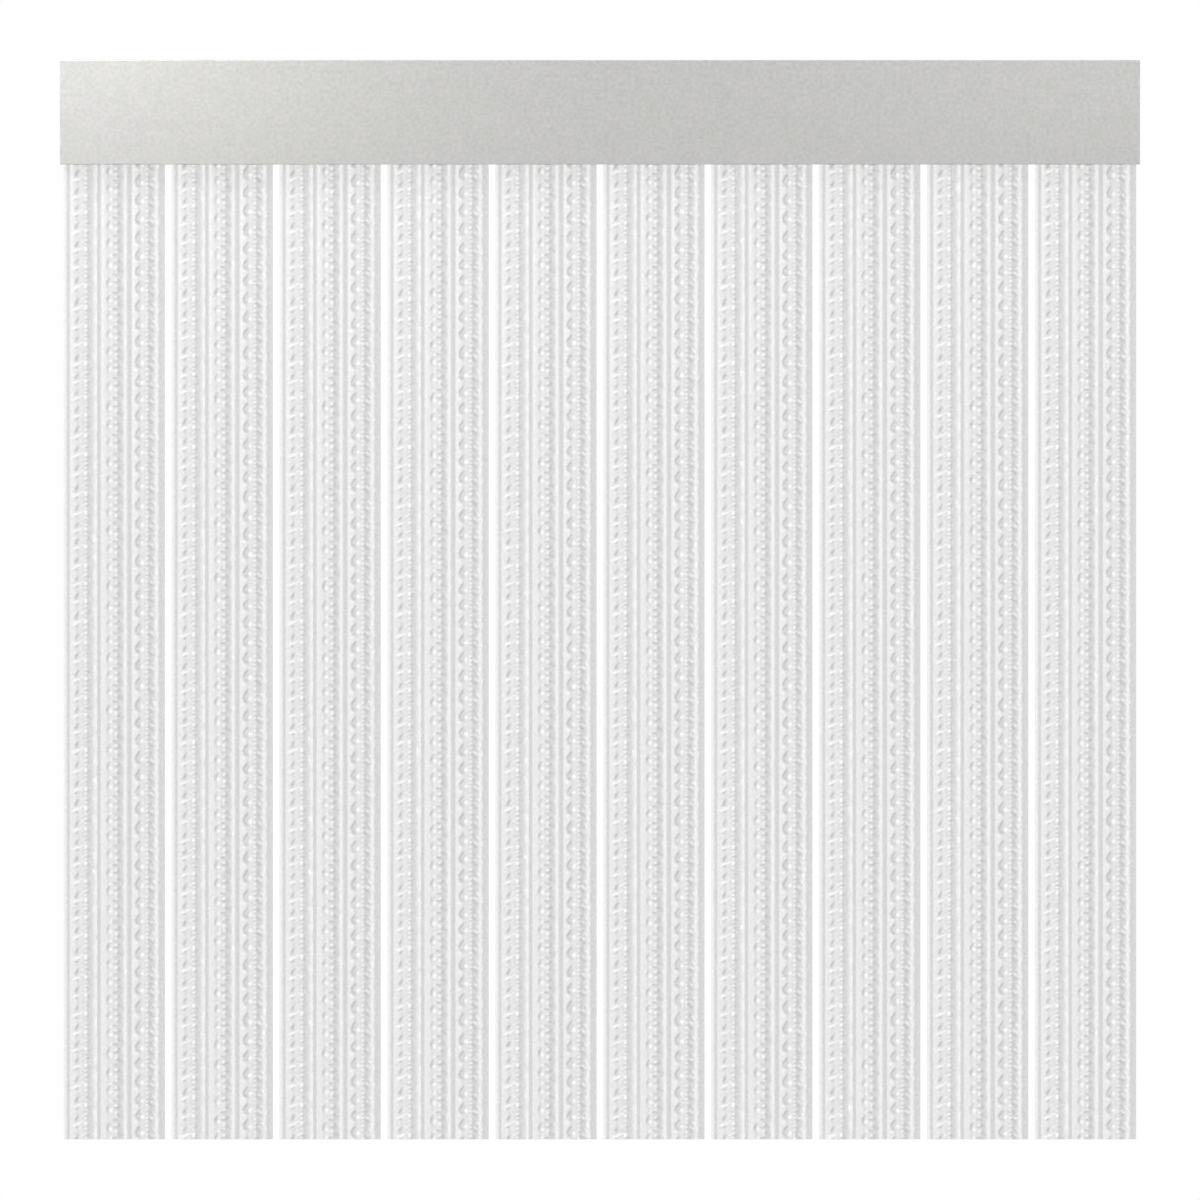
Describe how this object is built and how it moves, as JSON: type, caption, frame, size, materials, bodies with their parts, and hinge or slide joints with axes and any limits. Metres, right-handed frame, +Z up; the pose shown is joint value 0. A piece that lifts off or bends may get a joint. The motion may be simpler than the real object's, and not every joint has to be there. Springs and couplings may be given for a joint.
{
  "type": "strip door curtain",
  "caption": "Clear PVC door curtain: ribbed, roped strips hang side by side and swing from a rail inside a flat satin aluminium header.",
  "frame": {"origin": "centre of the header's back face, which lies against the wall", "axes": "+X along the header to the right seen from the front, +Y into the wall, +Z up; the front faces -Y"},
  "size_m": [0.9, 0.0579, 0.9],
  "materials": {
    "satin_aluminium": "satin anodised, very fine grain",
    "mill_aluminium": "mill finish extrusion",
    "clear_pvc": "clear, lightly milky flexible PVC",
    "white_rigid_pvc": "white rigid PVC extrusion",
    "zinc_steel": "zinc plated"
  },
  "bodies": {
    "header": {"wall_channel": "mill_aluminium", "front_fascia": "satin_aluminium", "carrier_rail": "mill_aluminium", "end_cap_left": "satin_aluminium", "end_cap_right": "satin_aluminium", "rail_screw_1": "zinc_steel", "rail_screw_2": "zinc_steel", "rail_screw_3": "zinc_steel", "rail_screw_4": "zinc_steel", "rail_screw_5": "zinc_steel", "cap_screw_left_1": "zinc_steel", "cap_screw_left_2": "zinc_steel", "cap_screw_left_3": "zinc_steel", "cap_screw_right_1": "zinc_steel", "cap_screw_right_2": "zinc_steel", "cap_screw_right_3": "zinc_steel", "spacer_1": "white_rigid_pvc", "spacer_2": "white_rigid_pvc", "spacer_3": "white_rigid_pvc", "spacer_4": "white_rigid_pvc", "spacer_5": "white_rigid_pvc", "spacer_6": "white_rigid_pvc", "spacer_7": "white_rigid_pvc", "spacer_8": "white_rigid_pvc", "spacer_9": "white_rigid_pvc"},
    "strip_unit_01": {"strip_01": "clear_pvc", "hanger_01": "white_rigid_pvc", "stud_plate_01": "white_rigid_pvc"},
    "strip_unit_02": {"strip_02": "clear_pvc", "hanger_02": "white_rigid_pvc", "stud_plate_02": "white_rigid_pvc"},
    "strip_unit_03": {"strip_03": "clear_pvc", "hanger_03": "white_rigid_pvc", "stud_plate_03": "white_rigid_pvc"},
    "strip_unit_04": {"strip_04": "clear_pvc", "hanger_04": "white_rigid_pvc", "stud_plate_04": "white_rigid_pvc"},
    "strip_unit_05": {"strip_05": "clear_pvc", "hanger_05": "white_rigid_pvc", "stud_plate_05": "white_rigid_pvc"},
    "strip_unit_06": {"strip_06": "clear_pvc", "hanger_06": "white_rigid_pvc", "stud_plate_06": "white_rigid_pvc"},
    "strip_unit_07": {"strip_07": "clear_pvc", "hanger_07": "white_rigid_pvc", "stud_plate_07": "white_rigid_pvc"},
    "strip_unit_08": {"strip_08": "clear_pvc", "hanger_08": "white_rigid_pvc", "stud_plate_08": "white_rigid_pvc"},
    "strip_unit_09": {"strip_09": "clear_pvc", "hanger_09": "white_rigid_pvc", "stud_plate_09": "white_rigid_pvc"},
    "strip_unit_10": {"strip_10": "clear_pvc", "hanger_10": "white_rigid_pvc", "stud_plate_10": "white_rigid_pvc"}
  },
  "joints": [
    {"name": "strip_swing_01", "type": "hinge", "parent": "header", "child": "strip_unit_01", "pos_m": [-0.405, -0.02894, -0.0225], "axis": [1, 0, 0], "range_deg": [-45, 45]},
    {"name": "strip_swing_02", "type": "hinge", "parent": "header", "child": "strip_unit_02", "pos_m": [-0.315, -0.02894, -0.0225], "axis": [1, 0, 0], "range_deg": [-45, 45]},
    {"name": "strip_swing_03", "type": "hinge", "parent": "header", "child": "strip_unit_03", "pos_m": [-0.225, -0.02894, -0.0225], "axis": [1, 0, 0], "range_deg": [-45, 45]},
    {"name": "strip_swing_04", "type": "hinge", "parent": "header", "child": "strip_unit_04", "pos_m": [-0.135, -0.02894, -0.0225], "axis": [1, 0, 0], "range_deg": [-45, 45]},
    {"name": "strip_swing_05", "type": "hinge", "parent": "header", "child": "strip_unit_05", "pos_m": [-0.045, -0.02894, -0.0225], "axis": [1, 0, 0], "range_deg": [-45, 45]},
    {"name": "strip_swing_06", "type": "hinge", "parent": "header", "child": "strip_unit_06", "pos_m": [0.045, -0.02894, -0.0225], "axis": [1, 0, 0], "range_deg": [-45, 45]},
    {"name": "strip_swing_07", "type": "hinge", "parent": "header", "child": "strip_unit_07", "pos_m": [0.135, -0.02894, -0.0225], "axis": [1, 0, 0], "range_deg": [-45, 45]},
    {"name": "strip_swing_08", "type": "hinge", "parent": "header", "child": "strip_unit_08", "pos_m": [0.225, -0.02894, -0.0225], "axis": [1, 0, 0], "range_deg": [-45, 45]},
    {"name": "strip_swing_09", "type": "hinge", "parent": "header", "child": "strip_unit_09", "pos_m": [0.315, -0.02894, -0.0225], "axis": [1, 0, 0], "range_deg": [-45, 45]},
    {"name": "strip_swing_10", "type": "hinge", "parent": "header", "child": "strip_unit_10", "pos_m": [0.405, -0.02894, -0.0225], "axis": [1, 0, 0], "range_deg": [-45, 45]}
  ]
}
